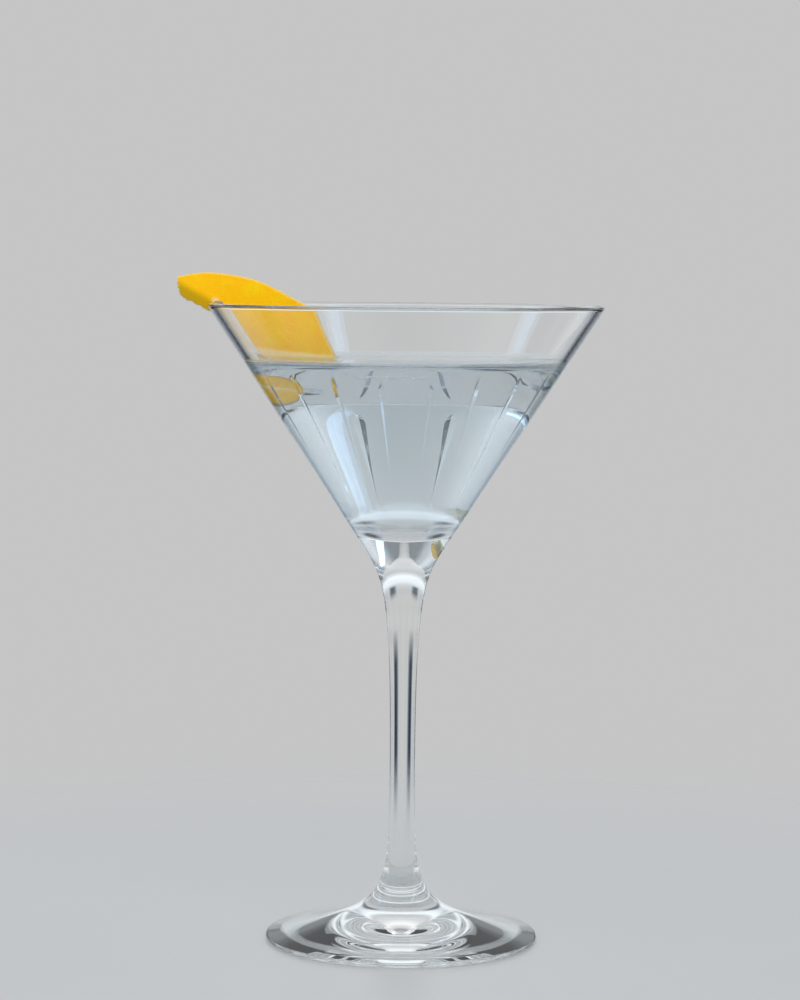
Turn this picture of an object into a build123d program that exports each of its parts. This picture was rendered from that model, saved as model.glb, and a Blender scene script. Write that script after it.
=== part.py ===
from build123d import *
import os
from math import acos, atan2, cos, degrees, exp, hypot, pi, radians, sin, sqrt, tan

# A stemmed cocktail glass with a drink in it and a strip of lemon peel hung on its rim.
# Millimetres. The axis of the glass is Z, the foot rests on Z = 0, and the peel hangs on the rim on the
# -X side, turned a little towards +Y.

# Bowl: a cone of clear glass that runs through a swept neck into the stem
rim_radius = 55.0
glass_height = 178.0
cone_lean = radians(33.1)  # outside of the cone, from upright
rim_wall = 1.6  # level thickness of the glass at the rim
well_wall = 2.05  # glass beside the ball-shaped well that the inside ends in
neck_glass = 17.4  # solid glass between the stem joint and the bottom of the well
neck_sweep = 30.0  # radius of the outside where the cone turns into the stem

# Mitre cuts: upright V cuts on the outside of the bowl, pointed at both ends
cut_count = 20
cut_below_rim = 18.5
cut_height = 35.1
cut_depth = 0.45
cut_width = 2.0
wheel_edge_depth = 1.35  # depth of the V on the wheel that makes the cuts
wheel_sweep = 2.5  # arc of the wheel that is drawn, in half-lengths of a cut

# Stem: drawn thin in the middle, flared at both ends
stem_top_radius = 5.95
stem_waist_radius = 3.5
stem_foot_radius = 6.7
stem_top_fade = 12.4  # height over which the upper flare dies away
stem_stations = 10  # spans of the curve along the stem

# Foot: a trumpet-shaped disc on a ground ring, hollowed a little underneath
foot_radius = 38.1
foot_height = 15.0  # up to the stem joint
foot_edge = 1.25
foot_slope = 0.21  # fall of the top towards its edge
foot_flare_power = 1.4  # how quickly the trumpet opens
foot_stations = 8  # spans of the curve over the top
foot_ring_width = 4.0
foot_hollow = 3.0

# Drink
drink_below_rim = 16.0
drink_film = 0.1  # room left between the liquid solid and the glass

# Lemon peel: a bent strip with a notch that sits over the rim
zest_thickness = 1.0
pith_thickness = 2.2
peel_turn = 15.0  # degrees round the rim, from the -X side towards +Y
peel_bend = 60.0  # radius of the bent outer skin
peel_bend_in = 9.4  # where the middle of the bend stands, in from the rim's outer edge
peel_reach_in = 32.4  # from the rim's outer edge towards the axis
peel_reach_out = 13.5
peel_crest = 8.4  # above the rim
peel_over_drink = 1.4
peel_bottom_rise = 1.3  # the lower edge climbs towards the glass wall
peel_shoulder_in = 27.6  # where the upper edge turns down into the inner end
peel_shoulder_drop = 1.7
flap_drop = 2.55  # how far the outer flap hangs below the rim
flap_corner = 0.26  # how far out the flap's lower corner stands, as a share of peel_reach_out
torn_low = (0.57, 0.03)  # places on the torn end, as shares of peel_reach_out and peel_crest
torn_middle = (0.93, 0.33)
torn_top = (1.0, 0.85)
crest_out = 0.18  # where the crest stands, as a share of peel_reach_out
upper_edge = (0.46, 0.7)  # a place past the crest, as shares of peel_shoulder_in and peel_crest
notch_slack = 0.7  # level gap between the inside of the wall and the peel
rim_clearance = 0.4  # between the peel and the glass at its outside and its top

# The rounded rim, and where the cone meets the neck
rim_round = rim_wall / 2
rim_edge_height = glass_height - rim_round
stem_top_lean = atan2(stem_top_radius - stem_waist_radius, stem_top_fade)
cone_foot_radius = stem_top_radius + neck_sweep * (cos(stem_top_lean) - cos(cone_lean))
cone_foot_height = rim_edge_height - (rim_radius - cone_foot_radius) / tan(cone_lean)
joint_height = cone_foot_height - neck_sweep * (sin(cone_lean) - sin(stem_top_lean))

# The inside of the bowl: a straight cone from the rim that touches the ball of the well, which is as
# large as leaves the well's wall inside the outer cone
well_bottom = joint_height + neck_glass
apex_height = rim_edge_height - rim_radius / tan(cone_lean)
well_radius = ((well_bottom - apex_height) * sin(cone_lean) - well_wall) / (1 - sin(cone_lean))
well_centre = well_bottom + well_radius
inner_rim_radius = rim_radius - rim_wall
rim_to_centre = hypot(inner_rim_radius, rim_edge_height - well_centre)
touch_angle = atan2(rim_edge_height - well_centre, inner_rim_radius) - acos(well_radius / rim_to_centre)
inner_lean = -touch_angle

# The drink's surface, and the foot's trumpet curve
drink_top = glass_height - drink_below_rim
flare_at_edge = (stem_foot_radius / foot_radius) ** foot_flare_power
flare_rise = (foot_height - foot_edge - foot_slope * (foot_radius - stem_foot_radius)) / (1 - flare_at_edge)
foot_joint_slope = foot_slope + flare_rise * foot_flare_power / stem_foot_radius
stem_foot_fade = (stem_foot_radius - stem_waist_radius) * foot_joint_slope


def turned(outline):
    """A solid of revolution about Z from a closed outline of (radius, height) edges."""
    return revolve(Plane.XZ * make_face(outline), axis=Axis.Z)


def neck_point(lean):
    """The point on the neck's sweep where the outside leans this far from upright."""
    centre_radius = stem_top_radius + neck_sweep * cos(stem_top_lean)
    centre_height = joint_height - neck_sweep * sin(stem_top_lean)
    return (centre_radius - neck_sweep * cos(lean), centre_height + neck_sweep * sin(lean))


def well_point(angle, radius):
    """A point on the well, or on a ball inside it, at an angle above the level."""
    return (radius * cos(angle), well_centre + radius * sin(angle))


def cut_tool():
    """The edge of the mitre wheel that makes the cut on the +X side of the bowl."""
    half_chord = cut_height / cos(cone_lean) / 2
    wheel = half_chord**2 / (2 * cut_depth) + cut_depth / 2
    edge = wheel - wheel_edge_depth
    half_edge = wheel_edge_depth * cut_width / (2 * cut_depth)
    profile = make_face(Polyline((wheel, 0), (edge, half_edge), (edge, -half_edge), close=True))
    sweep = degrees(wheel_sweep * half_chord / wheel)
    rim_of_wheel = Rot(0, -sweep / 2, 0) * revolve(profile, axis=Axis.Y, revolution_arc=sweep)
    mid_drop = cut_below_rim - rim_round + cut_height / 2
    mid_radius = rim_radius - mid_drop * tan(cone_lean)
    inward = Vector(-cos(cone_lean), 0, sin(cone_lean))
    wheel_centre = Vector(mid_radius, 0, rim_edge_height - mid_drop) - inward * (wheel - cut_depth)
    along_axis = inward.cross(Vector(0, 1, 0))
    return Plane(origin=wheel_centre, x_dir=inward, z_dir=along_axis) * rim_of_wheel


def make_bowl():
    rim_outer = (rim_radius, rim_edge_height)
    rim_top = (rim_radius - rim_round, glass_height)
    rim_inner = (inner_rim_radius, rim_edge_height)
    touch = well_point(touch_angle, well_radius)
    half_way = well_point((touch_angle - pi / 2) / 2, well_radius)
    outline = [
        Line((0, joint_height), (stem_top_radius, joint_height)),
        ThreePointArc(
            neck_point(stem_top_lean), neck_point((stem_top_lean + cone_lean) / 2), neck_point(cone_lean)
        ),
        Line(neck_point(cone_lean), rim_outer),
        ThreePointArc(rim_outer, rim_top, rim_inner),
        Line(rim_inner, touch),
        ThreePointArc(touch, half_way, (0, well_bottom)),
        Line((0, well_bottom), (0, joint_height)),
    ]
    first = 180 / cut_count
    cuts = [Rot(0, 0, first + i * 360 / cut_count) * cut_tool() for i in range(cut_count)]
    return turned(outline) - cuts


def stem_radius(height):
    upper = (stem_top_radius - stem_waist_radius) * exp((height - joint_height) / stem_top_fade)
    lower = (stem_foot_radius - stem_waist_radius) * exp((foot_height - height) / stem_foot_fade)
    return stem_waist_radius + upper + lower


def make_stem():
    length = joint_height - foot_height
    heights = [foot_height + length * (1 - cos(pi * i / stem_stations)) / 2 for i in range(stem_stations + 1)]
    side = [(stem_radius(height), height) for height in heights]
    outline = [
        Line((0, foot_height), side[0]),
        Spline(side),
        Line(side[-1], (0, joint_height)),
        Line((0, joint_height), (0, foot_height)),
    ]
    return turned(outline)


def foot_top(radius):
    flare = flare_rise * ((stem_foot_radius / radius) ** foot_flare_power - flare_at_edge)
    return foot_edge + foot_slope * (foot_radius - radius) + flare


def make_foot():
    outer = foot_radius - foot_edge / 2
    ring_inner = outer - foot_ring_width
    growth = outer / stem_foot_radius
    radii = [stem_foot_radius * growth ** (i / foot_stations) for i in range(foot_stations + 1)]
    top = [(radius, foot_top(radius)) for radius in radii]
    hollow_radius = (ring_inner**2 + foot_hollow**2) / (2 * foot_hollow)
    half_height = sqrt(hollow_radius**2 - (ring_inner / 2) ** 2) - hollow_radius + foot_hollow
    outline = [
        Line((0, foot_height), top[0]),
        Spline(top),
        ThreePointArc(top[-1], (foot_radius, foot_edge / 2), (outer, 0)),
        Line((outer, 0), (ring_inner, 0)),
        ThreePointArc((ring_inner, 0), (ring_inner / 2, half_height), (0, foot_hollow)),
        Line((0, foot_hollow), (0, foot_height)),
    ]
    return turned(outline)


def make_drink():
    ball = well_radius - drink_film
    touch = well_point(touch_angle, ball)
    edge = (touch[0] + (drink_top - touch[1]) * tan(inner_lean), drink_top)
    outline = [
        Line((0, drink_top), edge),
        Line(edge, touch),
        ThreePointArc(touch, well_point((touch_angle - pi / 2) / 2, ball), (0, well_bottom + drink_film)),
        Line((0, well_bottom + drink_film), (0, drink_top)),
    ]
    return turned(outline)


def peel_prism():
    """The strip's outline seen from the front, carried through the depth of the bent peel.

    Each point is (distance in from the rim's outer edge, height above the rim).
    """
    inner_drop = drink_below_rim - peel_over_drink
    outer_drop = inner_drop - peel_bottom_rise
    inner_side = rim_wall + notch_slack - rim_round * tan(inner_lean)
    outer_side = -rim_clearance / cos(cone_lean) - rim_round * tan(cone_lean)
    notch_foot = (inner_side + outer_drop * tan(inner_lean), -outer_drop)
    notch_in = (inner_side - rim_clearance * tan(inner_lean), rim_clearance)
    notch_out = (outer_side - rim_clearance * tan(cone_lean), rim_clearance)
    flap_foot = (outer_side + flap_drop * tan(cone_lean), -flap_drop)
    flap_tip = (-peel_reach_out * flap_corner, -flap_drop)
    torn_end = [(-peel_reach_out * out, peel_crest * up) for out, up in (torn_low, torn_middle, torn_top)]
    crest = (-peel_reach_out * crest_out, peel_crest)
    past_crest = (peel_shoulder_in * upper_edge[0], peel_crest * upper_edge[1])
    shoulder = (peel_shoulder_in, -peel_shoulder_drop)
    inner_tip = (peel_reach_in, -inner_drop)
    outline = [
        Line(inner_tip, notch_foot),
        Line(notch_foot, notch_in),
        Line(notch_in, notch_out),
        Line(notch_out, flap_foot),
        Line(flap_foot, flap_tip),
        Spline(flap_tip, *torn_end),
        Spline(torn_end[-1], crest, past_crest, shoulder),
        Line(shoulder, inner_tip),
    ]
    depth = peel_bend / 2
    face = Plane.XZ * Pos(-rim_radius, glass_height) * make_face(outline)
    return extrude(face, amount=depth, both=True)


def make_peel():
    """The yellow zest and the pale pith behind it, bent to one ball."""
    front = (zest_thickness + pith_thickness) / 2
    bend_centre = Pos(-rim_radius + peel_bend_in, peel_bend - front, glass_height)
    prism = peel_prism()
    inside_zest = bend_centre * Sphere(peel_bend - zest_thickness)
    inside_pith = bend_centre * Sphere(peel_bend - zest_thickness - pith_thickness)
    zest = (prism & bend_centre * Sphere(peel_bend)) - inside_zest
    pith = (prism & inside_zest) - inside_pith
    turn = Rot(0, 0, -peel_turn)
    return turn * zest, turn * pith


zest, pith = make_peel()
nodes = {
    "bowl": make_bowl(),
    "stem": make_stem(),
    "foot": make_foot(),
    "drink": make_drink(),
    "peel_zest": zest,
    "peel_pith": pith,
}
os.makedirs("parts", exist_ok=True)
for name, solid in nodes.items():
    export_step(solid, f"parts/{name}.step")
    print(name, "volume", round(solid.volume, 1), "mm3")
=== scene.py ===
import math
import random

import bpy
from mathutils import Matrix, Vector, noise
from mathutils.geometry import delaunay_2d_cdt
from mathutils.kdtree import KDTree


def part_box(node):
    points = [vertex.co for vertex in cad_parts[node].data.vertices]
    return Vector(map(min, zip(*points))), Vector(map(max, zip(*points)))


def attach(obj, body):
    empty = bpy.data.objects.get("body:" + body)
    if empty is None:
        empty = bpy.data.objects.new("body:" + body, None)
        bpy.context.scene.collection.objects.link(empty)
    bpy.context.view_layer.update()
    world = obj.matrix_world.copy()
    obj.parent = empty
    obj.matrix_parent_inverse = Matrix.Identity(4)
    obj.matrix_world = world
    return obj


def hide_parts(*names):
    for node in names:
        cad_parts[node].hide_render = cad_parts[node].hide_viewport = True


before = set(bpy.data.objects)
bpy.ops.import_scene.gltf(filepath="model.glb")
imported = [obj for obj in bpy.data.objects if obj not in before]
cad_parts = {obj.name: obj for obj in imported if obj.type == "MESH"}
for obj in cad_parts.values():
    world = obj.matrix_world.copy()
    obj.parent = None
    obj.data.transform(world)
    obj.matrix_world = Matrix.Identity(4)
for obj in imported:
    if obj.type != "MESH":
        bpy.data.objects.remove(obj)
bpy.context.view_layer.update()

mm = 0.001  # the frame is in metres, and the sizes below are in millimetres
random.seed(7)

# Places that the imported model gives
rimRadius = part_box("bowl")[1].x / mm
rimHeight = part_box("bowl")[1].z / mm
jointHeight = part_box("bowl")[0].z / mm
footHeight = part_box("foot")[1].z / mm
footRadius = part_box("foot")[1].x / mm
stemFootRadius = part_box("stem")[1].x / mm
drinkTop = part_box("drink")[1].z / mm
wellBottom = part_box("drink")[0].z / mm - 0.1  # the liquid solid stands 0.1 mm off the glass


def newPiece(name, verts, faces, materials, slots=None, smooth=True):
    mesh = bpy.data.meshes.new(name)
    mesh.from_pydata([Vector(v) * mm for v in verts], [], faces)
    for material in materials:
        mesh.materials.append(material)
    if slots:
        mesh.polygons.foreach_set("material_index", slots)
    mesh.polygons.foreach_set("use_smooth", [smooth] * len(mesh.polygons))
    mesh.validate()
    mesh.update()
    piece = bpy.data.objects.new(name, mesh)
    bpy.context.scene.collection.objects.link(piece)
    return piece


def sharpenEdges(piece, degreesOver):
    # Marks the edges whose faces meet at more than this angle, so that cuts and rims stay crisp
    mesh = piece.data
    facing = {}
    for face in mesh.polygons:
        for key in face.edge_keys:
            facing.setdefault(key, []).append(face.normal)
    limit = math.cos(math.radians(degreesOver))
    sharp = mesh.attributes.new("sharp_edge", "BOOLEAN", "EDGE")
    for edge in mesh.edges:
        sides = facing.get(tuple(sorted(edge.vertices)), [])
        sharp.data[edge.index].value = len(sides) == 2 and sides[0].dot(sides[1]) < limit


def smoothStep(low, high, value):
    share = min(max((value - low) / (high - low), 0.0), 1.0)
    return share * share * (3 - 2 * share)


def newMaterial(name):
    material = bpy.data.materials.new(name)
    material.use_nodes = True
    tree = material.node_tree
    tree.nodes.clear()
    output = tree.nodes.new("ShaderNodeOutputMaterial")
    return material, tree, output


def addNode(tree, kind, **values):
    # Makes a node, then sets its sockets by name and its other properties by attribute
    node = tree.nodes.new(kind)
    for key, value in values.items():
        if key in node.inputs:
            node.inputs[key].default_value = value
        else:
            setattr(node, key, value)
    return node


def mathNode(tree, operation, first, second=None, third=None):
    node = tree.nodes.new("ShaderNodeMath")
    node.operation = operation
    for index, value in enumerate((first, second, third)):
        if value is None:
            continue
        if isinstance(value, (int, float)):
            node.inputs[index].default_value = value
        else:
            tree.links.new(value, node.inputs[index])
    return node.outputs[0]


def rampNode(tree, factor, stops, interpolation="LINEAR"):
    node = tree.nodes.new("ShaderNodeValToRGB")
    ramp = node.color_ramp
    ramp.interpolation = interpolation
    while len(ramp.elements) < len(stops):
        ramp.elements.new(0.5)
    for element, (position, colour) in zip(ramp.elements, stops):
        element.position = position
        element.color = (*colour, 1)
    tree.links.new(factor, node.inputs[0])
    return node.outputs[0]


def mixColours(tree, blendType, factor, first, second):
    # Each input is a plain value or the socket of another node
    node = addNode(tree, "ShaderNodeMix", data_type="RGBA", blend_type=blendType)
    for index, value in ((0, factor), (6, first), (7, second)):  # the sockets of a colour mix
        if isinstance(value, (float, tuple)):
            node.inputs[index].default_value = value
        else:
            tree.links.new(value, node.inputs[index])
    return node.outputs[2]


def noiseNode(tree, coords, scale, detail=2.0, roughness=0.5):
    node = addNode(tree, "ShaderNodeTexNoise", Scale=scale, Detail=detail, Roughness=roughness)
    tree.links.new(coords, node.inputs["Vector"])
    return node.outputs["Fac"]


cameraPlace = {
    "distance": 814.0,  # from the axis of the glass
    "height": 189.1,
    "side": -1.3,
    "tiltDown": 4.6,
    "roll": 0.5,
    "lens": 105.4,
    "sensor": 36.0,
    "nearest": 0.01,  # metres
}


def makeCamera():
    place = cameraPlace
    data = bpy.data.cameras.new("camera")
    data.lens = place["lens"]
    data.sensor_width = place["sensor"]
    data.clip_start = place["nearest"]
    camera = bpy.data.objects.new("camera", data)
    camera.location = Vector((place["side"], -place["distance"], place["height"])) * mm
    camera.rotation_euler = (math.radians(90 - place["tiltDown"]), 0, 0)
    camera.rotation_euler.rotate_axis("Z", math.radians(place["roll"]))
    bpy.context.scene.collection.objects.link(camera)
    bpy.context.scene.camera = camera
    print("camera placed")


glassFinish = {
    "colour": (0.985, 0.995, 0.995, 1),
    "bending": 1.5,  # refractive index
    "wipeScale": 60.0,
    "wipeFrom": 0.45,  # where on the noise the wiped patches begin and are full
    "wipeTo": 0.8,
    "wipedRoughness": 0.03,
    "shade": (0.93, 0.95, 0.95, 1),  # what one wall leaves of the light from a lamp
}


def makeClearGlass():
    finish = glassFinish
    material, tree, output = newMaterial("clearGlass")
    coords = tree.nodes.new("ShaderNodeTexCoord").outputs["Object"]
    glass = addNode(tree, "ShaderNodeBsdfPrincipled", IOR=finish["bending"])
    glass.inputs["Base Color"].default_value = finish["colour"]
    glass.inputs["Transmission Weight"].default_value = 1.0
    # Handled glass: hardly any blur, a touch more where it has been wiped
    wiped = noiseNode(tree, coords, finish["wipeScale"], detail=3.0)
    rough = addNode(tree, "ShaderNodeMapRange")
    rough.inputs["From Min"].default_value = finish["wipeFrom"]
    rough.inputs["From Max"].default_value = finish["wipeTo"]
    rough.inputs["To Min"].default_value = 0.0
    rough.inputs["To Max"].default_value = finish["wipedRoughness"]
    tree.links.new(wiped, rough.inputs["Value"])
    tree.links.new(rough.outputs[0], glass.inputs["Roughness"])
    letLampsIn(tree, glass, output, finish["shade"])
    return material


def letLampsIn(tree, shader, output, tint):
    # Light from the lamps passes straight through, so what stands behind the glass is lit
    path = tree.nodes.new("ShaderNodeLightPath")
    clear = tree.nodes.new("ShaderNodeBsdfTransparent")
    clear.inputs["Color"].default_value = tint
    mix = tree.nodes.new("ShaderNodeMixShader")
    tree.links.new(path.outputs["Is Shadow Ray"], mix.inputs[0])
    tree.links.new(shader.outputs[0], mix.inputs[1])
    tree.links.new(clear.outputs[0], mix.inputs[2])
    tree.links.new(mix.outputs[0], output.inputs["Surface"])


def makeFusedJoint():
    # Where two gathers of glass are fused nothing shows
    material, tree, output = newMaterial("fusedJoint")
    clear = tree.nodes.new("ShaderNodeBsdfTransparent")
    tree.links.new(clear.outputs[0], output.inputs["Surface"])
    return material


liquidFinish = {
    "swirls": [(0.3, (0.93, 0.965, 1.0)), (0.7, (0.98, 0.99, 1.0))],
    "swirlScale": 35.0,
    "bending": 1.34,
    "clearness": 0.96,  # the rest is the haze of a chilled drink
    "depthColour": (0.26, 0.44, 0.52, 1),
    "depthStrength": 6.5,
    "shade": (0.99, 0.995, 1.0, 1),
}


def makeDrinkMaterial():
    finish = liquidFinish
    material, tree, output = newMaterial("chilledDrink")
    coords = tree.nodes.new("ShaderNodeTexCoord").outputs["Object"]
    liquid = addNode(tree, "ShaderNodeBsdfPrincipled", IOR=finish["bending"], Roughness=0.0)
    swirl = noiseNode(tree, coords, finish["swirlScale"])
    tint = rampNode(tree, swirl, finish["swirls"])
    tree.links.new(tint, liquid.inputs["Base Color"])
    liquid.inputs["Transmission Weight"].default_value = finish["clearness"]
    depth = addNode(tree, "ShaderNodeVolumeAbsorption", Density=finish["depthStrength"])
    depth.inputs["Color"].default_value = finish["depthColour"]
    tree.links.new(depth.outputs[0], output.inputs["Volume"])
    letLampsIn(tree, liquid, output, finish["shade"])
    return material


zestFinish = {
    "patches": [(0.25, (1.0, 0.60, 0.0)), (0.55, (1.0, 0.52, 0.0)), (0.8, (0.97, 0.66, 0.0))],
    "patchScale": 90.0,
    "poreScale": 1100.0,
    "pores": [(0.0, (0.86, 0.80, 0.6)), (0.35, (1, 1, 1))],
    "poreStrength": 0.6,
    "poreDepth": 0.00012,  # metres
    # Painted shade for the folded flap
    "flapPaintedShade": (0.60, 0.36, 0.0, 1),
    # Pale colour: pith by the notch, painted rim highlight and painted reflection
    "pithAndPaintedLight": (0.95, 0.86, 0.62, 1),
    "roughness": 0.45,
    "oil": 0.16,  # strength of the gleam
    "glow": 0.15,
    "glowReach": (1.0, 0.5, 0.1),  # millimetres, for red, green and blue light
}

pithFinish = {
    "fibres": [(0.3, (0.74, 0.62, 0.30)), (0.6, (0.86, 0.79, 0.53)), (0.8, (0.93, 0.89, 0.72))],
    "fibreScale": 700.0,
    "fibreDepth": 0.0002,  # metres
    "roughness": 0.8,
    "glow": 0.2,
    "glowReach": (1.0, 0.8, 0.5),
}


def glowInside(shader, finish):
    # Light goes about a millimetre into the peel
    shader.inputs["Subsurface Weight"].default_value = finish["glow"]
    shader.inputs["Subsurface Radius"].default_value = finish["glowReach"]
    shader.inputs["Subsurface Scale"].default_value = mm


def makeZestMaterial():
    finish = zestFinish
    material, tree, output = newMaterial("lemonZest")
    coords = tree.nodes.new("ShaderNodeTexCoord").outputs["Object"]
    zest = addNode(tree, "ShaderNodeBsdfPrincipled", Roughness=finish["roughness"])
    zest.inputs["Specular IOR Level"].default_value = finish["oil"]
    patches = noiseNode(tree, coords, finish["patchScale"], detail=4.0)
    colour = rampNode(tree, patches, finish["patches"])
    pores = addNode(tree, "ShaderNodeTexVoronoi", Scale=finish["poreScale"])
    tree.links.new(coords, pores.inputs["Vector"])
    poreShade = rampNode(tree, pores.outputs["Distance"], finish["pores"])
    skin = mixColours(tree, "MULTIPLY", finish["poreStrength"], colour, poreShade)
    # Painted shade darkens the folded flap; pale colour shows the pith by the notch, and paints a rim
    # highlight along the edges and a reflection in a band over the drink
    for key, tint in (("paintedShade", finish["flapPaintedShade"]), ("pithAndPaintedLight", finish["pithAndPaintedLight"])):
        layer = addNode(tree, "ShaderNodeAttribute", attribute_name=key)
        skin = mixColours(tree, "MIX", layer.outputs["Fac"], skin, tint)
    tree.links.new(skin, zest.inputs["Base Color"])
    bump = addNode(tree, "ShaderNodeBump", Strength=0.35)
    bump.inputs["Distance"].default_value = finish["poreDepth"]
    tree.links.new(pores.outputs["Distance"], bump.inputs["Height"])
    tree.links.new(bump.outputs[0], zest.inputs["Normal"])
    glowInside(zest, finish)
    tree.links.new(zest.outputs[0], output.inputs["Surface"])
    return material


def makePithMaterial():
    finish = pithFinish
    material, tree, output = newMaterial("lemonPith")
    coords = tree.nodes.new("ShaderNodeTexCoord").outputs["Object"]
    pith = addNode(tree, "ShaderNodeBsdfPrincipled", Roughness=finish["roughness"])
    fibres = noiseNode(tree, coords, finish["fibreScale"], detail=5.0, roughness=0.65)
    tree.links.new(rampNode(tree, fibres, finish["fibres"]), pith.inputs["Base Color"])
    bump = addNode(tree, "ShaderNodeBump", Strength=0.6)
    bump.inputs["Distance"].default_value = finish["fibreDepth"]
    tree.links.new(fibres, bump.inputs["Height"])
    tree.links.new(bump.outputs[0], pith.inputs["Normal"])
    glowInside(pith, finish)
    tree.links.new(pith.outputs[0], output.inputs["Surface"])
    return material


bowlShape = {
    "coneLean": 33.1,  # degrees from upright
    "rimWall": 1.6,
    "wellWall": 2.05,
    "neckSweep": 30.0,  # radius of the curve from the stem out to the cone
    "cuts": 20,
    "cutBelowRim": 18.5,
    "cutHeight": 35.1,
    "cutDepth": 0.42,
    "cutWidth": 1.9,
    "cutSwell": 0.1,  # the cut is widest this far down its length, and tapers to a point below
    "cutHead": 0.6,  # how full its upper end is: lower is blunter
    "cutTail": 1.15,  # where its taper would run out
    "hairline": 0.03,  # half the width that the columns of a cut keep where there is no cut
    "fanOut": 0.25,  # how fast those columns spread again past its ends
    "landColumns": 9,  # columns of faces between two cuts
    "coneRows": (12, 38, 14, 14),  # rows of faces below the cuts, in their tails and heads, and above
    "sweepSteps": 26,
    "rimSteps": 12,
    "wellSteps": 36,
    "wallSteps": 40,
    "crispOver": 14,  # degrees
}


def bowlLines():
    # The outside and the inside of the bowl as (radius, height) points, from the stem joint up
    shape, stem = bowlShape, stemShape
    lean = math.radians(shape["coneLean"])
    edgeHeight = rimHeight - shape["rimWall"] / 2
    topLean = math.atan2(stem["topRadius"] - stem["waistRadius"], stem["topFade"])
    sweep = shape["neckSweep"]
    centreRadius = stem["topRadius"] + sweep * math.cos(topLean)
    centreHeight = jointHeight - sweep * math.sin(topLean)
    outside = []
    for i in range(shape["sweepSteps"] + 1):
        share = i / shape["sweepSteps"]
        if i == 1:
            share = 0.003  # a close row keeps the shading true up to the joint
        angle = topLean + (lean - topLean) * share
        outside.append((centreRadius - sweep * math.cos(angle), centreHeight + sweep * math.sin(angle)))
    coneFoot = outside[-1]
    cutTop = rimHeight - shape["cutBelowRim"]
    cutFoot = cutTop - shape["cutHeight"]
    # Rows of faces up the cone, closest in the heads of the cuts, down to a little past their widest place
    headFoot = cutTop - shape["cutHeight"] * shape["cutSwell"] * 1.5
    levels = (coneFoot[1], cutFoot, headFoot, cutTop, edgeHeight)
    for low, high, count in zip(levels, levels[1:], shape["coneRows"]):
        for i in range(1, count + 1):
            height = low + (high - low) * i / count
            outside.append((rimRadius - (edgeHeight - height) * math.tan(lean), height))
    # The well is the ball that leaves its wall inside the outer cone
    apex = edgeHeight - rimRadius / math.tan(lean)
    well = ((wellBottom - apex) * math.sin(lean) - shape["wellWall"]) / (1 - math.sin(lean))
    wellCentre = wellBottom + well
    innerRim = rimRadius - shape["rimWall"]
    toCentre = math.hypot(innerRim, edgeHeight - wellCentre)
    touch = math.atan2(edgeHeight - wellCentre, innerRim) - math.acos(well / toCentre)
    inside = []
    for i in range(shape["wellSteps"] + 1):
        angle = -math.pi / 2 + (touch + math.pi / 2) * i / shape["wellSteps"]
        inside.append((well * math.cos(angle), wellCentre + well * math.sin(angle)))
    wallFoot, wallTop = inside[-1], (innerRim, edgeHeight)
    for i in range(1, shape["wallSteps"] + 1):
        share = i / shape["wallSteps"]
        inside.append(tuple(low + (high - low) * share for low, high in zip(wallFoot, wallTop)))
    return outside, inside, cutFoot, cutTop


def cutFullness(down):
    # How deep and wide a cut is, from its head at 0 to its point at 1
    shape = bowlShape
    head = min(down / shape["cutSwell"], 1.0) ** shape["cutHead"]
    return head * (1 - smoothStep(0.0, shape["cutTail"], down)) * (1 - down)


def makeBowl(glass, fused):
    shape = bowlShape
    outside, inside, cutFoot, cutTop = bowlLines()
    lean = math.radians(shape["coneLean"])
    sector = 2 * math.pi / shape["cuts"]
    cutSteps = (-1.0, -0.5, 0.0, 0.5, 1.0)  # columns across a cut, in half widths
    landSteps = shape["landColumns"]
    perSector = len(cutSteps) + landSteps - 1
    columns = perSector * shape["cuts"]

    def columnAngle(column, halfAngle):
        which, place = divmod(column, perSector)
        centre = sector * (which + 0.5)
        if place < len(cutSteps):
            return centre + cutSteps[place] * halfAngle
        land = (place - len(cutSteps) + 1) / landSteps
        return centre + halfAngle + (sector - 2 * halfAngle) * land

    evenHalf = sector * 2 / perSector
    verts, faces, rows = [], [], []
    for radius, height in outside:
        cut = cutFullness(min(max((cutTop - height) / shape["cutHeight"], 0.0), 1.0))
        past = max(cutFoot - height, height - cutTop, 0.0)
        half = max(cut * shape["cutWidth"] / 2, shape["hairline"]) + past * shape["fanOut"]
        halfAngle = min(half / radius, evenHalf)
        row = []
        for column in range(columns):
            place = column % perSector
            depth = shape["cutDepth"] * cut * (1 - abs(cutSteps[place])) if place < len(cutSteps) else 0.0
            angle = columnAngle(column, halfAngle)
            r = radius - depth * math.cos(lean)
            row.append(len(verts))
            verts.append((r * math.cos(angle), r * math.sin(angle), height + depth * math.sin(lean)))
        rows.append(row)
    # The rounded rim, then down the inside to the bottom of the well
    wall = shape["rimWall"]
    middle = rimRadius - wall / 2
    for i in range(1, shape["rimSteps"]):
        angle = math.pi * i / shape["rimSteps"]
        r = middle + wall / 2 * math.cos(angle)
        height = rimHeight - wall / 2 + wall / 2 * math.sin(angle)
        rows.append(ringOf(verts, r, height, columns, lambda c: columnAngle(c, evenHalf)))
    for radius, height in reversed(inside[1:]):
        rows.append(ringOf(verts, radius, height, columns, lambda c: columnAngle(c, evenHalf)))
    joinRows(rows, faces)
    closeRing(verts, faces, rows[-1], (0, 0, inside[0][1]), True)
    slots = [0] * len(faces) + [1] * columns  # the last ring is the joint with the stem
    closeRing(verts, faces, rows[0], (0, 0, jointHeight), False)
    piece = newPiece("cut_bowl", verts, faces, [glass, fused], slots)
    sharpenEdges(piece, shape["crispOver"])
    print("bowl made,", len(faces), "faces")
    return piece


def ringOf(verts, radius, height, columns, angleOf):
    first = len(verts)
    for column in range(columns):
        angle = angleOf(column)
        verts.append((radius * math.cos(angle), radius * math.sin(angle), height))
    return list(range(first, first + columns))


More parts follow.
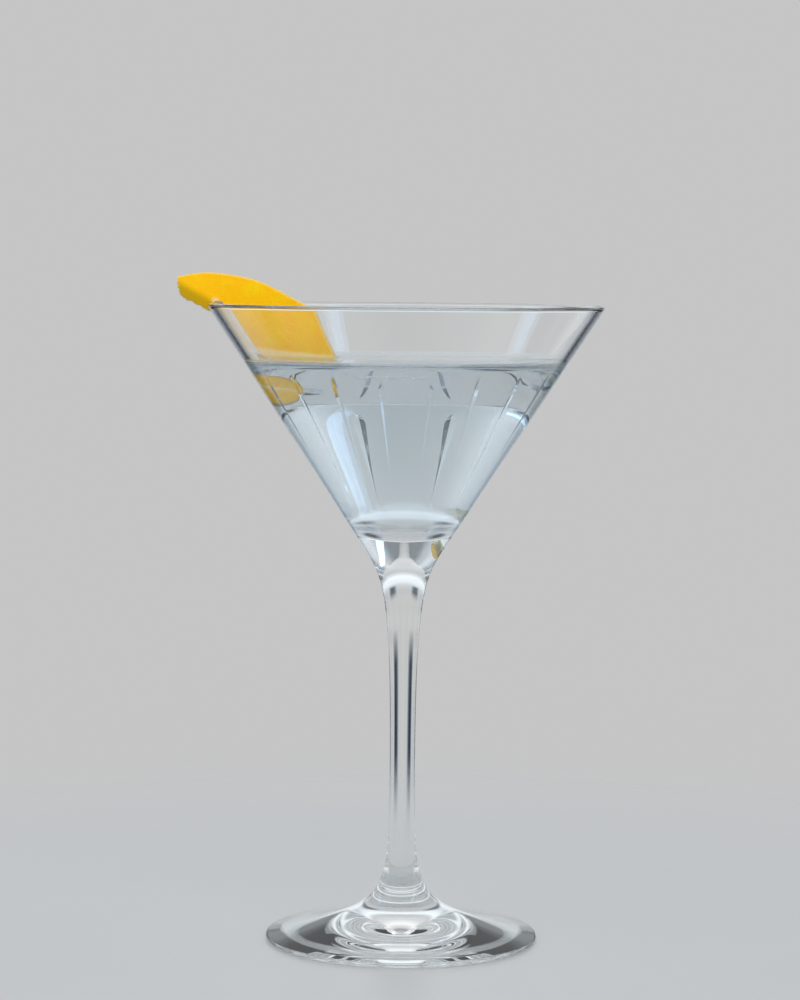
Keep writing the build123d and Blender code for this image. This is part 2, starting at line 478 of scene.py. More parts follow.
def joinRows(rows, faces):
    for lower, upper in zip(rows, rows[1:]):
        count = len(lower)
        for i in range(count):
            j = (i + 1) % count
            faces.append((lower[i], lower[j], upper[j], upper[i]))


def closeRing(verts, faces, ring, centre, up):
    middle = len(verts)
    verts.append(centre)
    for i in range(len(ring)):
        j = (i + 1) % len(ring)
        faces.append((ring[i], ring[j], middle) if up else (ring[j], ring[i], middle))


def evenly(column, columns):
    return 2 * math.pi * column / columns


footShape = {
    "edge": 1.25,  # thickness at the edge
    "slope": 0.21,
    "flarePower": 1.4,  # how quickly the foot rises into the stem
    "ringWidth": 4.0,
    "ringBevel": 0.3,
    "hollow": 3.0,
    "columns": 224,
    "topSteps": 44,
    "underSteps": 24,
    "edgeSteps": 10,
    "crispOver": 40,  # degrees
}


def footTop(radius):
    # Height of the top of the foot, a slope and a flare that takes it up to the stem
    shape = footShape
    atEdge = (stemFootRadius / footRadius) ** shape["flarePower"]
    fall = shape["slope"] * (footRadius - stemFootRadius)
    rise = (footHeight - shape["edge"] - fall) / (1 - atEdge)
    flare = rise * ((stemFootRadius / radius) ** shape["flarePower"] - atEdge)
    return shape["edge"] + shape["slope"] * (footRadius - radius) + flare


stemShape = {
    "topRadius": 5.95,
    "topFade": 12.4,  # how slowly the stem narrows below the bowl
    "waistRadius": 3.5,
    "columns": 224,
    "steps": 90,
    "crispOver": 40,  # degrees
}


def makeStem(glass, fused):
    shape = stemShape
    topFlare = shape["topRadius"] - shape["waistRadius"]
    footFlare = stemFootRadius - shape["waistRadius"]
    slopeStep = 0.001
    footSlope = (footTop(stemFootRadius) - footTop(stemFootRadius + slopeStep)) / slopeStep
    footFade = footFlare * footSlope  # so the stem runs into the foot without a corner
    columns, steps = shape["columns"], shape["steps"]
    verts, faces, rows = [], [], []
    for i in range(steps + 1):
        share = (1 - math.cos(math.pi * i / steps)) / 2
        height = footHeight + (jointHeight - footHeight) * share
        radius = shape["waistRadius"]
        radius += topFlare * math.exp((height - jointHeight) / shape["topFade"])
        radius += footFlare * math.exp((footHeight - height) / footFade)
        rows.append(ringOf(verts, radius, height, columns, lambda c: evenly(c, columns)))
    joinRows(rows, faces)
    walls = len(faces)
    closeRing(verts, faces, rows[-1], (0, 0, jointHeight), True)
    closeRing(verts, faces, rows[0], (0, 0, footHeight), False)
    slots = [0] * walls + [1] * (len(faces) - walls)
    piece = newPiece("drawn_stem", verts, faces, [glass, fused], slots)
    sharpenEdges(piece, shape["crispOver"])
    print("stem made,", len(faces), "faces")
    return piece


def makeFoot(glass, fused):
    shape = footShape
    columns = shape["columns"]
    outer = footRadius - shape["edge"] / 2
    verts, faces, line = [], [], []
    for i in reversed(range(shape["topSteps"] + 1)):
        radius = stemFootRadius * (outer / stemFootRadius) ** (i / shape["topSteps"])
        line.append((radius, footTop(radius)))
    topEdge = line[0][1]
    # Underside, from the middle of the hollow out to the ground ring, then round the edge
    ringInner = outer - shape["ringWidth"]
    hollowRadius = (ringInner**2 + shape["hollow"] ** 2) / (2 * shape["hollow"])
    under = []
    for i in range(1, shape["underSteps"] + 1):
        radius = ringInner * i / shape["underSteps"]
        under.append((radius, math.sqrt(hollowRadius**2 - radius**2) - hollowRadius + shape["hollow"]))
    under.append((ringInner + shape["ringBevel"], 0.0))
    edge = []
    for i in range(shape["edgeSteps"]):
        angle = -math.pi / 2 + math.pi * i / shape["edgeSteps"]
        radius = outer + (footRadius - outer) * math.cos(angle)
        edge.append((radius, topEdge / 2 + topEdge / 2 * math.sin(angle)))
    rows = []
    for radius, height in under + edge + line:
        rows.append(ringOf(verts, radius, height, columns, lambda c: evenly(c, columns)))
    joinRows(rows, faces)
    closeRing(verts, faces, rows[0], (0, 0, shape["hollow"]), False)
    walls = len(faces)
    closeRing(verts, faces, rows[-1], (0, 0, footHeight), True)
    slots = [0] * walls + [1] * (len(faces) - walls)
    piece = newPiece("ground_foot", verts, faces, [glass, fused], slots)
    sharpenEdges(piece, shape["crispOver"])
    print("foot made,", len(faces), "faces")
    return piece


drinkShape = {
    "intoGlass": 0.15,  # the liquid wets the wall, so its skin lies inside the glass
    "climb": 1.5,  # height of the meniscus on the glass
    "climbOnPeel": 1.1,
    "climbWidth": 1.2,
    "columns": 220,
    "surfaceGrain": 2.6,  # spacing of the mesh in the middle of the surface
    "edgeGrain": 0.12,  # spacing at the glass, and how fast it grows inward
    "edgeGrowth": 0.35,
    "ringGrain": 1.0,  # spacing round the glass, and how fast that grows inward
    "ringGrowth": 1.1,
    "peelGrain": 0.42,  # spacing round the peel, how far that goes, and its gap to the glass
    "peelReach": 5.0,
    "peelGap": 0.2,
    "wetSteps": 40,
    "wetPast": 0.9,  # how far past the peel's tip the liquid still clings
    "crispOver": 60,  # degrees
    "bubbles": 34,
    "bubbleSizes": (0.12, 0.34),
    "bubbleSpread": 0.9,  # radians round from the front
    "bubbleDepths": (0.3, 3.2),
    "bubbleGaps": (0.05, 0.9),  # between a bubble and the glass
    "bubbleRoom": 1.25,  # in radii of the bubble
    "bubbleMesh": (12, 8),  # faces across and down
    "rowOfBubbles": 30,
    "rowSizes": (0.22, 0.46),
    "rowDepth": 2.4,
    "rowSway": 0.25,  # up and down
    "rowStray": 0.3,  # sideways, as a share of the spacing
    "rowArc": (-108, 26),  # degrees: where the row begins and how far it goes round
}


def wetLine():
    # Where the liquid meets the peel: along its zest, round its tip and back along its pith
    inner, outer = peelShape["reachIn"] + drinkShape["wetPast"], peelShape["wetFrom"]
    level, steps = drinkTop - rimHeight, drinkShape["wetSteps"]
    places = [outer + (inner - outer) * i / steps for i in range(steps + 1)]
    front = [peelPoint(u, level, 0.0) for u in places]
    back = [peelPoint(u, level, peelShape["pithEnd"]) for u in reversed(places)]
    return [(p.x, p.y) for p in front + back]


def makeDrink(liquid):
    shape = drinkShape
    inside = bowlLines()[1]
    columns = shape["columns"]
    verts, faces, rows = [], [], []
    contact = drinkTop + shape["climb"]
    line = []
    for (r0, z0), (r1, z1) in zip(inside, inside[1:]):
        lean = math.atan2(r1 - r0, z1 - z0)
        if z1 > contact:
            share = (contact - z0) / (z1 - z0)
            r1, z1 = r0 + (r1 - r0) * share, contact
        line.append((r1 + shape["intoGlass"] * math.cos(lean), z1 - shape["intoGlass"] * math.sin(lean)))
        if z1 >= contact:
            break
    wallRadius, wallHeight = line[-1]
    for radius, height in line:
        rows.append(ringOf(verts, radius, height, columns, lambda c: evenly(c, columns)))
    joinRows(rows, faces)
    closeRing(verts, faces, rows[0], (0, 0, wellBottom - shape["intoGlass"]), False)
    addSurface(verts, faces, rows[-1], wallRadius, wallHeight)
    addBubbles(verts, faces)
    piece = newPiece("chilled_drink", verts, faces, [liquid])
    sharpenEdges(piece, shape["crispOver"])
    print("drink made,", len(faces), "faces")
    return piece


def addSurface(verts, faces, rim, wallRadius, wallHeight):
    # The level surface, curled up where it meets the glass and the peel
    shape = drinkShape
    wet = wetLine()
    grain = shape["surfaceGrain"]
    points = [Vector(verts[i][:2]) for i in rim]
    inward = shape["edgeGrain"]
    while inward < wallRadius - grain:
        radius = wallRadius - inward
        spacing = max(inward * shape["ringGrowth"], shape["ringGrain"])
        count = min(max(int(2 * math.pi * radius / spacing), 8), shape["columns"])
        turn = random.random()
        for i in range(count):
            angle = 2 * math.pi * (i + turn) / count
            points.append(Vector((radius * math.cos(angle), radius * math.sin(angle))))
        inward += min(shape["edgeGrain"] + inward * shape["edgeGrowth"], grain)
    nearWet = KDTree(len(wet))
    for index, (x, y) in enumerate(wet):
        nearWet.insert((x, y, 0), index)
    nearWet.balance()
    reach, step = shape["peelReach"], shape["peelGrain"]
    points = points[:len(rim)] + [p for p in points[len(rim):] if nearWet.find((p.x, p.y, 0))[2] > reach]
    xs, ys = [p[0] for p in wet], [p[1] for p in wet]
    for i in range(int((max(xs) - min(xs) + 2 * reach) / step)):
        for j in range(int((max(ys) - min(ys) + 2 * reach) / step)):
            x = min(xs) - reach + (i + 0.5 * (j % 2)) * step
            y = min(ys) - reach + j * step
            if nearWet.find((x, y, 0))[2] < reach and math.hypot(x, y) < wallRadius - shape["peelGap"]:
                points.append(Vector((x, y)))
    loop = [(i, (i + 1) % len(rim)) for i in range(len(rim))]
    flat, _, triangles, origins, *_ = delaunay_2d_cdt(points, loop, [], 1, 1e-5)
    place = []
    for point, origin in zip(flat, origins):
        fromRim = [i for i in origin if i < len(rim)]
        if fromRim:
            place.append(rim[fromRim[0]])
            continue
        inward = wallRadius - point.length
        height = drinkTop + (wallHeight - drinkTop) * math.exp(-inward / shape["climbWidth"])
        toPeel = nearWet.find((point.x, point.y, 0))[2]
        if isInside(point.x, point.y, wet):
            toPeel = 0.0
        height += shape["climbOnPeel"] * math.exp(-toPeel / shape["climbWidth"])
        place.append(len(verts))
        verts.append((point.x, point.y, min(height, wallHeight)))
    for triangle in triangles:
        faces.append(tuple(place[i] for i in triangle))


def wallAt(height):
    # Radius of the inside of the bowl at a height on its straight part
    (r0, z0), (r1, z1) = bowlLines()[1][-2:]
    return r1 + (height - z1) * (r1 - r0) / (z1 - z0)


def addBubbles(verts, faces):
    # Small bubbles of air that cling to the glass under the surface, and one row of them in front
    shape = drinkShape
    for _ in range(shape["bubbles"]):
        size = random.uniform(*shape["bubbleSizes"])
        angle = -math.pi / 2 + random.gauss(0, shape["bubbleSpread"])
        height = drinkTop - size - random.uniform(*shape["bubbleDepths"])
        addBubble(verts, faces, size, angle, height, random.uniform(*shape["bubbleGaps"]))
    rowStart, rowSweep = shape["rowArc"]
    stray, sway = shape["rowStray"], shape["rowSway"]
    for i in range(shape["rowOfBubbles"]):
        size = random.uniform(*shape["rowSizes"])
        along = (i + random.uniform(-stray, stray)) / shape["rowOfBubbles"]
        height = drinkTop - shape["rowDepth"] - random.uniform(-sway, sway)
        angle = math.radians(rowStart + rowSweep * along)
        addBubble(verts, faces, size, angle, height, min(shape["bubbleGaps"]))


def addBubble(verts, faces, size, angle, height, gap):
    radius = wallAt(height) - size * drinkShape["bubbleRoom"] - gap
    addBall(verts, faces, Vector((radius * math.cos(angle), radius * math.sin(angle), height)), size)


def addBall(verts, faces, centre, size):
    # Faces inward, because it is a hole in the liquid
    across, down = drinkShape["bubbleMesh"]
    rings = []
    for j in range(1, down):
        tilt = math.pi * j / down
        first = len(verts)
        for i in range(across):
            turn = 2 * math.pi * i / across
            side, up = math.sin(tilt), math.cos(tilt)
            verts.append(tuple(centre + Vector((side * math.cos(turn), side * math.sin(turn), up)) * size))
        rings.append(list(range(first, first + across)))
    joinRows(rings, faces)
    closeRing(verts, faces, rings[-1], tuple(centre - Vector((0, 0, size))), True)
    closeRing(verts, faces, rings[0], tuple(centre + Vector((0, 0, size))), False)


peelShape = {
    "zest": 0.97,
    "pithStart": 1.0,
    "pithEnd": 3.15,
    "middle": 1.6,  # depth that stands over the rim's own radius
    "turn": 15.0,  # degrees round the rim, from the -X side towards the back
    "bend": 60.0,
    "bendIn": 9.4,
    "reachIn": 32.4,
    "reachOut": 13.5,
    "crest": 8.4,
    "overDrink": 1.4,
    "endRise": (1.5, 18.0),  # the painted reflection band ends at a slant: this much over this length
    "dip": 4.6,  # how far the wet end reaches below the surface of the drink
    "wetFrom": 13.2,  # where the wet end begins, in from the rim's outer edge
    "wetSwell": (0.5, 2.2),  # it swells this far past the tip, this far down
    "wetFoot": [(1.3, 1.2), (5.0, 0.0), (11.0, 0.2)],  # back from the tip, and up from the lowest place
    "drinkBelowRim": 16.0,
    "shoulderIn": 27.6,
    "shoulderDrop": 1.7,
    "flapDrop": 2.55,
    "flapCorner": 0.26,
    "tornPlaces": [(0.6, -0.03), (0.91, 0.16), (0.99, 0.46), (1.0, 0.85)],
    "crestOut": 0.18,
    "upperEdge": (0.46, 0.7),
    "notchSlack": 0.5,
    "notchRise": 1.2,  # the notch ends this far over the lowest place
    "overRim": 0.12,
    "clearance": 0.3,
    "foldAt": (-1.7, 1.3),  # the outer flap folds back along a line through here
    "foldLean": (0.41, 0.91),
    "curl": (0.17, 1.6),  # how far it curls back past the fold, and how fast that grows
    "curlFrom": (1.5, -0.5),  # a pair like this is where something begins and where it is full
    # Painted shade on the folded flap, past the fold line and towards the outer end
    "paintedShadePast": (-0.8, 2.2),
    "paintedShadeFrom": (1.5, -1.0),
    "grain": 0.3,  # spacing of the mesh
    "edgeRound": 0.35,
    "pithRound": 0.9,
    "crispOver": 50,  # degrees
}

# How the strip's surface and edges wander, where the pith shows through, and where pale colour paints a
# rim highlight and a reflection
peelWear = {
    "tornWaves": [(0.9, 3.1, 0.75), (2.3, 8.2, 0.35)],  # waves in a millimetre, their seed and height
    "cutWaves": [(0.35, 5.7, 0.12)],
    "zestWaves": [(0.5, 1.0, 0.05)],
    "pithWaves": [(0.8, 9.0, 0.16), (2.2, 4.0, 0.07)],
    "tornFrom": (-4.0, -9.0),
    "tornTop": (6.0, 7.4),  # it is torn less up here
    "tornTopCalm": 0.75,
    "cutFrom": (5.5, 8.0),
    "poresInMm": 1.05,
    "poreDepth": 0.06,
    "poreSize": (0.34, 0.05),
    "poreEdge": (0.1, 0.8),  # no pores right at the edge
    "slitAt": (-0.6, 0.9),  # where the notch has torn the skin
    "slitSquash": 1.6,
    "slitReach": (2.0, 0.3),
    "slitBare": 0.4,
    # Painted rim highlight: pale colour along the edges
    "edgeReach": (0.45, 0.1),
    "edgeRimHighlight": 0.3,
    "bandTop": (0.3, -0.7),  # a painted reflection: a pale band over the drink, up to a slanted line
    "bandFoot": (-0.9, 0.5),
    "bandPaintedReflection": 0.45,
}


def wander(waves, u, v):
    # The sum of some smooth waves, at a place on the strip
    return sum(height * noise.noise(Vector((u * often, v * often, seed))) for often, seed, height in waves)


def throughPoints(points, steps):
    # A smooth line through the points
    ends = [points[0]] + list(points) + [points[-1]]
    line = []
    for a, b, c, d in zip(ends, ends[1:], ends[2:], ends[3:]):
        for i in range(steps):
            t = i / steps
            line.append(tuple(between(p, q, r, s, t) for p, q, r, s in zip(a, b, c, d)))
    line.append(points[-1])
    return line


def between(p, q, r, s, t):
    # One coordinate on the curve from q to r, which p and s lead into and out of
    bend = 2 * p - 5 * q + 4 * r - s
    twist = 3 * q - p - 3 * r + s
    return 0.5 * (2 * q + (r - p) * t + bend * t**2 + twist * t**3)


def straight(a, b, step):
    count = max(int(math.dist(a, b) / step), 1)
    return [tuple(p + (q - p) * i / count for p, q in zip(a, b)) for i in range(count + 1)]


def peelOutline():
    # (distance in from the rim's outer edge, height above the rim), clockwise from the wet end's tip
    shape = peelShape
    wall = bowlShape["rimWall"]
    lean = math.radians(bowlShape["coneLean"])
    (r0, z0), (r1, z1) = bowlLines()[1][-2:]
    innerTan = (r1 - r0) / (z1 - z0)
    innerDrop = shape["drinkBelowRim"] - shape["overDrink"]
    innerSide = wall + shape["notchSlack"] - wall / 2 * innerTan
    outerSide = -shape["clearance"] / math.cos(lean) - wall / 2 * math.tan(lean)
    over = shape["overRim"]
    low = -shape["drinkBelowRim"] - shape["dip"]
    notchLow = low + shape["notchRise"]
    notchFoot = (innerSide - notchLow * innerTan, notchLow)
    notchIn = (innerSide - over * innerTan, over)
    notchOut = (outerSide - over * math.tan(lean), over)
    flapFoot = (outerSide + shape["flapDrop"] * math.tan(lean), -shape["flapDrop"])
    reach, crest = shape["reachOut"], shape["crest"]
    flapTip = (-reach * shape["flapCorner"], -shape["flapDrop"])
    torn = [(-reach * out, crest * up) for out, up in shape["tornPlaces"]]
    top = (-reach * shape["crestOut"], crest)
    pastTop = (shape["shoulderIn"] * shape["upperEdge"][0], crest * shape["upperEdge"][1])
    shoulder = (shape["shoulderIn"], -shape["shoulderDrop"])
    innerTip = (shape["reachIn"], -innerDrop)
    swellIn, swellDown = shape["wetSwell"]
    wetEnd = [innerTip, (innerTip[0] + swellIn, innerTip[1] - swellDown)]
    wetEnd += [(innerTip[0] - back, low + up) for back, up in shape["wetFoot"]]
    wetEnd.append(notchFoot)
    step = shape["grain"]
    line = throughPoints(wetEnd, 16)[:-1]
    line += straight(notchFoot, notchIn, step)[:-1]
    line += straight(notchIn, notchOut, step)[:-1]
    line += straight(notchOut, flapFoot, step)[:-1]
    line += straight(flapFoot, flapTip, step)[:-1]
    line += throughPoints([flapTip] + torn, 14)[:-1]
    line += throughPoints([torn[-1], top, pastTop, shoulder], 44)[:-1]
    line += straight(shoulder, innerTip, step)[:-1]
    return roundCorners(line, 3)


def roundCorners(line, times):
    for _ in range(times):
        line = [
            tuple((p + 2 * q + r) / 4 for p, q, r in zip(line[i - 1], line[i], line[(i + 1) % len(line)]))
            for i in range(len(line))
        ]
    return line


def tornLine(line):
    # The torn end is ragged, and knife-cut edges wander a little
    wear = peelWear
    ragged = []
    for index, (u, v) in enumerate(line):
        calm = wear["tornTopCalm"] * smoothStep(*wear["tornTop"], v)
        push = smoothStep(*wear["tornFrom"], u) * (1 - calm) * wander(wear["tornWaves"], u, v)
        push += smoothStep(*wear["cutFrom"], u) * wander(wear["cutWaves"], u, v)
        before, after = line[index - 1], line[(index + 1) % len(line)]
        side = Vector((after[1] - before[1], before[0] - after[0]))
        if side.length > 0:
            side.normalize()
        ragged.append((u + side.x * push, v + side.y * push))
    return ragged


def pastFold(u, v):
    # How far a place lies beyond the line that the outer flap folds along
    (foldU, foldV), (leanU, leanV) = peelShape["foldAt"], peelShape["foldLean"]
    return (foldU - u) * leanU + (foldV - v) * leanV


def flapCurl(u, v):
    curl, power = peelShape["curl"]
    return curl * max(pastFold(u, v), 0.0) ** power * smoothStep(*peelShape["curlFrom"], u)


def makePeel(zestMaterial, pithMaterial):
    shape = peelShape
    outline = tornLine(peelOutline())
    grain = shape["grain"]
    thirds = (0.0, 0.33, 0.67)
    tree = KDTree(len(outline) * len(thirds))
    for index, (u, v) in enumerate(outline):
        nu, nv = outline[(index + 1) % len(outline)]
        for share in thirds:
            tree.insert((u + (nu - u) * share, v + (nv - v) * share, 0), index)
    tree.balance()
    lowU, highU = min(p[0] for p in outline), max(p[0] for p in outline)
    lowV, highV = min(p[1] for p in outline), max(p[1] for p in outline)
    rowStep, offEdge = grain * 0.87, grain * 0.45  # rows of even triangles, a little off the outline
    inner = []
    row, v = 0, lowV + grain / 2
    while v < highV:
        u = lowU + grain / 2 + (row % 2) * grain / 2
        while u < highU:
            if isInside(u, v, outline) and tree.find((u, v, 0))[2] > offEdge:
                inner.append((u, v))
            u += grain
        row += 1
        v += rowStep
    points = [Vector(p) for p in outline + inner]
    loop = [(i, (i + 1) % len(outline)) for i in range(len(outline))]
    flat, _, triangles, *_ = delaunay_2d_cdt(points, loop, [], 1, 1e-5)
    toEdge = [tree.find((p.x, p.y, 0))[2] for p in flat]
    border = borderOf(triangles)
    sheet = (flat, triangles, border, toEdge)
    zest = peelLayer("lemon_zest", sheet, 0.0, shape["zest"], True, zestMaterial)
    pith = peelLayer("lemon_pith", sheet, shape["pithStart"], shape["pithEnd"], False, pithMaterial)
    print("peel made,", len(zest.data.polygons) + len(pith.data.polygons), "faces")
    return zest, pith


def isInside(u, v, outline):
    inside = False
    for (a, b), (c, d) in zip(outline, outline[1:] + outline[:1]):
        if (b > v) != (d > v) and u < (c - a) * (v - b) / (d - b) + a:
            inside = not inside
    return inside


def borderOf(triangles):
    # The edges with one face, each in its face's own direction
    seen = {}
    for triangle in triangles:
        for i in range(3):
            edge = (triangle[i], triangle[(i + 1) % 3])
            seen[edge] = True
    return [edge for edge in seen if (edge[1], edge[0]) not in seen]


def peelPoint(u, v, depth):
    # The place on the bent strip, this deep under the zest's face
    shape = peelShape
    across = u - shape["bendIn"]
    front = shape["middle"]
    ball = math.sqrt((shape["bend"] - depth) ** 2 - across**2 - v**2)
    back = shape["bend"] - front - ball + flapCurl(u, v)
    turn = -math.radians(shape["turn"])
    x = u - rimRadius
    return Vector((
        x * math.cos(turn) - back * math.sin(turn),
        x * math.sin(turn) + back * math.cos(turn),
        rimHeight + v,
    ))


def pithAndPaintedLightShare(u, v, gap):
    # How much pale colour is laid on: pith by the notch, a painted rim highlight along the edges, and a
    # painted reflection in a band over the drink
    shape, wear = peelShape, peelWear
    toSlit = math.dist((u, v * wear["slitSquash"]), wear["slitAt"])
    # Painted reflection: a pale band just over the drink, under a slanted line
    overLevel = v + shape["drinkBelowRim"]
    rise, length = shape["endRise"]
    paintedBandEdge = shape["overDrink"] + rise * (shape["reachIn"] - u) / length
    band = smoothStep(*wear["bandTop"], overLevel - paintedBandEdge) * smoothStep(*wear["bandFoot"], overLevel)
    return max(
        wear["slitBare"] * smoothStep(*wear["slitReach"], toSlit),
        wear["edgeRimHighlight"] * smoothStep(*wear["edgeReach"], gap),
        wear["bandPaintedReflection"] * band,
    )


def zestDimple(u, v, gap):
    # Depth of the pores and the slow waves of the skin
    wear = peelWear
    often = wear["poresInMm"]
    cell = noise.voronoi(Vector((u * often, v * often, 0.4)))[0][0]
    depth = wear["poreDepth"] * smoothStep(*wear["poreSize"], cell) + wander(wear["zestWaves"], u, v)
    return depth * smoothStep(*wear["poreEdge"], gap)


def rounding(radius, gap):
    # How far a rounded edge drops, this near to it
    near = max(radius - gap, 0.0)
    return radius - math.sqrt(max(radius**2 - near**2, 0.0))


def peelLayer(name, sheet, start, end, isZest, material):
    # One layer of the strip, from its start to its end in depth under the zest's face
    flat, triangles, border, toEdge = sheet
    shape = peelShape
    verts, faces, paintedShade, pithAndPaintedLight = [], [], [], []
    for point, gap in zip(flat, toEdge):
        u, v = point
        depth = start
        if isZest:
            depth += rounding(shape["edgeRound"], gap) + zestDimple(u, v, gap)
        verts.append(tuple(peelPoint(u, v, depth)))
        # Painted shade past the fold
        paintedShade.append(smoothStep(*shape["paintedShadePast"], pastFold(u, v)) * smoothStep(*shape["paintedShadeFrom"], u))
        # Pale colour: pith by the notch, painted rim highlight and painted reflection
        pithAndPaintedLight.append(pithAndPaintedLightShare(u, v, gap))
    count = len(verts)
    for point, gap in zip(flat, toEdge):
        u, v = point
        depth = end
        if not isZest:
            depth -= rounding(shape["pithRound"], gap) + wander(peelWear["pithWaves"], u, v)
        verts.append(tuple(peelPoint(u, v, depth)))
    # Seen from the front the triangles turn anticlockwise in (u, v), which faces the zest's side
    for a, b, c in triangles:
        faces.append((a, b, c))
        faces.append((a + count, c + count, b + count))
    for a, b in border:
        faces.append((b, a, a + count, b + count))
    piece = newPiece(name, verts, faces, [material])
    for key, values in (("paintedShade", paintedShade), ("pithAndPaintedLight", pithAndPaintedLight)):
        layer = piece.data.attributes.new(key, "FLOAT", "POINT")
        layer.data.foreach_set("value", values + values)
    sharpenEdges(piece, shape["crispOver"])
    return piece


studio = {
    "panels": 8.0,  # pale panels that face the usual views
    # From the middle of a dark strip, which draws the edges of the glass, out to a pale panel
    "panelShades": [(0.05, (0.06, 0.065, 0.07)), (0.22, (0.34, 0.47, 0.66)), (0.42, (1.0, 1.0, 1.0))],
    # Degrees above the level, and how dark the strips are there
    "stripShare": [(-5.2, 1.0), (-1.7, 0.0), (4.2, 0.0), (6.5, 0.85), (10.0, 0.85), (12.0, 0.0)],
    "sky": [  # degrees above the level, and the light that comes from there
        (-90, (0.56, 0.56, 0.56)),
        (7, (0.56, 0.56, 0.56)),
        (10, (0.60, 0.63, 0.65)),
        (15, (0.90, 0.97, 1.02)),
        (19, (0.98, 1.05, 1.10)),
        (22, (0.74, 0.79, 0.82)),
        (25, (0.58, 0.60, 0.61)),
        (36, (0.70, 0.72, 0.74)),
        (50, (1.0, 1.0, 1.0)),
        (60, (0.66, 0.67, 0.68)),
        (68, (0.28, 0.29, 0.30)),
        (90, (0.22, 0.22, 0.23)),
    ],
}


def upTheSky(degrees):
    # Where a height over the level lies on a ramp that goes from straight down to straight up
    return 0.5 + 0.5 * math.sin(math.radians(degrees))


def makeWorld():
    world = bpy.data.worlds.new("studio")
    bpy.context.scene.world = world
    world.use_nodes = True
    tree = world.node_tree
    tree.nodes.clear()
    output = tree.nodes.new("ShaderNodeOutputWorld")
    background = tree.nodes.new("ShaderNodeBackground")
    tree.links.new(background.outputs[0], output.inputs["Surface"])
    way = tree.nodes.new("ShaderNodeTexCoord").outputs["Generated"]
    split = tree.nodes.new("ShaderNodeSeparateXYZ")
    tree.links.new(way, split.inputs[0])
    rise = split.outputs["Z"]
    turn = mathNode(tree, "ARCTAN2", split.outputs["Y"], split.outputs["X"])
    wave = mathNode(tree, "COSINE", mathNode(tree, "MULTIPLY", turn, studio["panels"]))
    panels = rampNode(tree, mathNode(tree, "MULTIPLY_ADD", wave, 0.5, 0.5), studio["panelShades"])
    level = mathNode(tree, "MULTIPLY_ADD", rise, 0.5, 0.5)
    sky = rampNode(tree, level, [(upTheSky(up), colour) for up, colour in studio["sky"]], "EASE")
    stripShare = rampNode(tree, level, [(upTheSky(up), (dark,) * 3) for up, dark in studio["stripShare"]])
    light = mixColours(tree, "MULTIPLY", stripShare, sky, panels)
    tree.links.new(light, background.inputs["Color"])
    background.inputs["Strength"].default_value = 1.0


floorSheet = {
    "radius": 500.0,
    "height": -0.05,  # a hair under the foot
    "fadeFrom": 0.13,  # metres from the middle, where the sheet begins to fade into the backdrop
    "fadeTo": 0.34,
    "grain": [(0.3, (0.56, 0.56, 0.565)), (0.7, (0.58, 0.58, 0.58))],
    "grainScale": 8.0,
    "roughness": 0.32,
    "columns": 96,
}


def makeFloor():
    shape = floorSheet
    columns, height = shape["columns"], shape["height"]
    verts = [(0, 0, height)]
    faces = []
    ring = ringOf(verts, shape["radius"], height, columns, lambda c: evenly(c, columns))
    for i in range(columns):
        faces.append((0, ring[i], ring[(i + 1) % columns]))
    material, tree, output = newMaterial("floorSheet")
    floor = addNode(tree, "ShaderNodeBsdfPrincipled", Roughness=shape["roughness"])
    coords = tree.nodes.new("ShaderNodeTexCoord").outputs["Object"]
    grain = noiseNode(tree, coords, shape["grainScale"], detail=3.0)
    colour = rampNode(tree, grain, shape["grain"])
    tree.links.new(colour, floor.inputs["Base Color"])
    length = addNode(tree, "ShaderNodeVectorMath", operation="LENGTH")
    tree.links.new(coords, length.inputs[0])
    away = addNode(tree, "ShaderNodeMapRange", interpolation_type="SMOOTHSTEP")
    away.inputs["From Min"].default_value = shape["fadeFrom"]
    away.inputs["From Max"].default_value = shape["fadeTo"]
    tree.links.new(length.outputs["Value"], away.inputs["Value"])
    clear = tree.nodes.new("ShaderNodeBsdfTransparent")
    mix = tree.nodes.new("ShaderNodeMixShader")
    tree.links.new(away.outputs[0], mix.inputs[0])
    tree.links.new(floor.outputs[0], mix.inputs[1])
    tree.links.new(clear.outputs[0], mix.inputs[2])
    tree.links.new(mix.outputs[0], output.inputs["Surface"])
    sheet = newPiece("floor_sheet", verts, faces, [material])


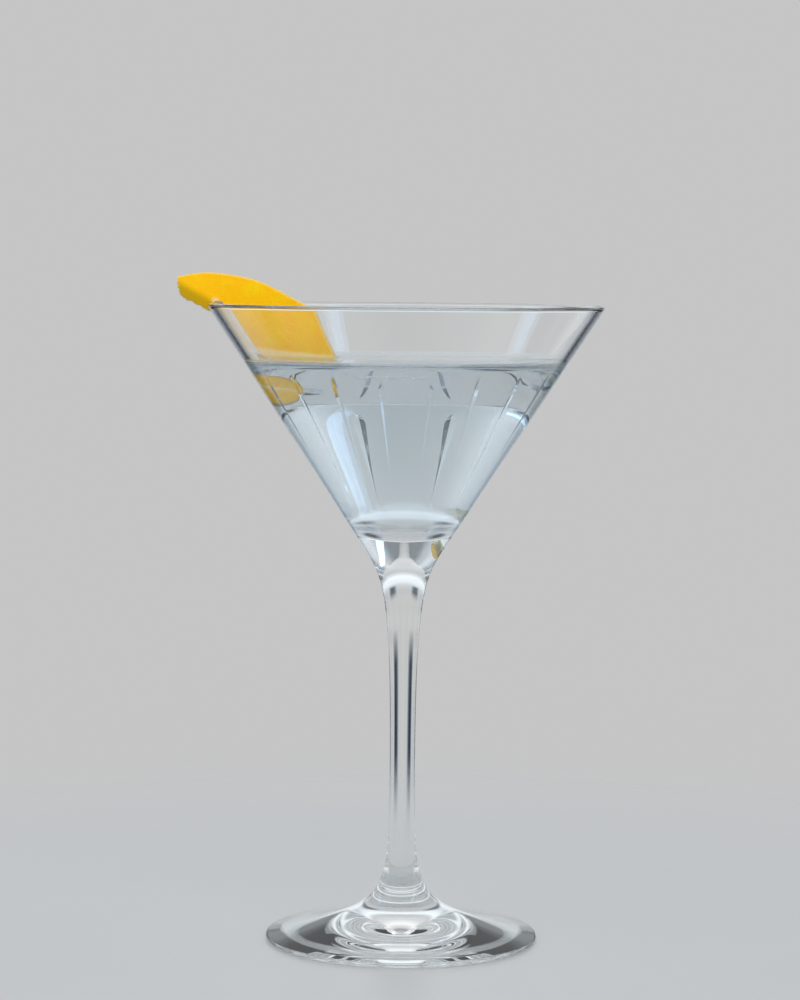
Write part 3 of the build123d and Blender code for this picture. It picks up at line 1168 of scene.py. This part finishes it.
# Place and size in metres, power in watts. The key and the fills light the peel and the floor, and the
# two cool soft boxes high up stripe the bowl. Only those two are seen in the glass.
lamps = {
    "keyLeft": ((-0.8, -1.2, 0.5), (0.7, 0.7), 9.5, (1.0, 0.985, 0.96), False),
    "fillRight": ((1.25, -0.9, 0.5), (0.5, 0.7), 2.0, (1.0, 0.99, 0.97), False),
    "fillBack": ((0.7, 1.3, 0.6), (0.6, 0.6), 2.5, (1.0, 0.99, 0.97), False),
    "coolBack": ((-1.05, 0.42, 0.98), (0.2, 0.7), 0.75, (0.42, 0.68, 1.0), True),
    "coolFront": ((0.85, -0.27, 1.25), (0.16, 0.7), 0.75, (0.42, 0.68, 1.0), True),
}
lampsAimAt = (0, 0, 0.11)


def makeLamps():
    for name, (place, size, power, colour, seenInGlass) in lamps.items():
        data = bpy.data.lights.new(name, "AREA")
        data.shape = "RECTANGLE"
        data.size, data.size_y = size
        data.energy = power
        data.color = colour
        lamp = bpy.data.objects.new(name, data)
        lamp.location = place
        lamp.rotation_mode = "QUATERNION"
        lamp.rotation_quaternion = (Vector(lampsAimAt) - lamp.location).to_track_quat("-Z", "Y")
        lamp.visible_glossy = seenInGlass
        lamp.visible_transmission = seenInGlass
        bpy.context.scene.collection.objects.link(lamp)
    print("studio lit")


def setRender():
    scene = bpy.context.scene
    scene.view_settings.view_transform = "Standard"
    scene.cycles.max_bounces = 24
    scene.cycles.transmission_bounces = 24
    scene.cycles.glossy_bounces = 8
    scene.cycles.transparent_max_bounces = 24


makeCamera()
setRender()
clearGlass = makeClearGlass()
fusedJoint = makeFusedJoint()
pieces = [
    (makeBowl(clearGlass, fusedJoint), "glass", "bowl", "clear_glass"),
    (makeStem(clearGlass, fusedJoint), "glass", "stem", "clear_glass"),
    (makeFoot(clearGlass, fusedJoint), "glass", "foot", "clear_glass"),
    (makeDrink(makeDrinkMaterial()), "glass", "drink", "drink"),
]
zestPiece, pithPiece = makePeel(makeZestMaterial(), makePithMaterial())
pieces.append((zestPiece, "peel", "peel_zest", "zest"))
pieces.append((pithPiece, "peel", "peel_pith", "pith"))
for piece, body, node, slotName in pieces:
    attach(piece, body)
    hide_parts(node)
makeWorld()
makeFloor()
makeLamps()
print(len(pieces), "pieces placed")
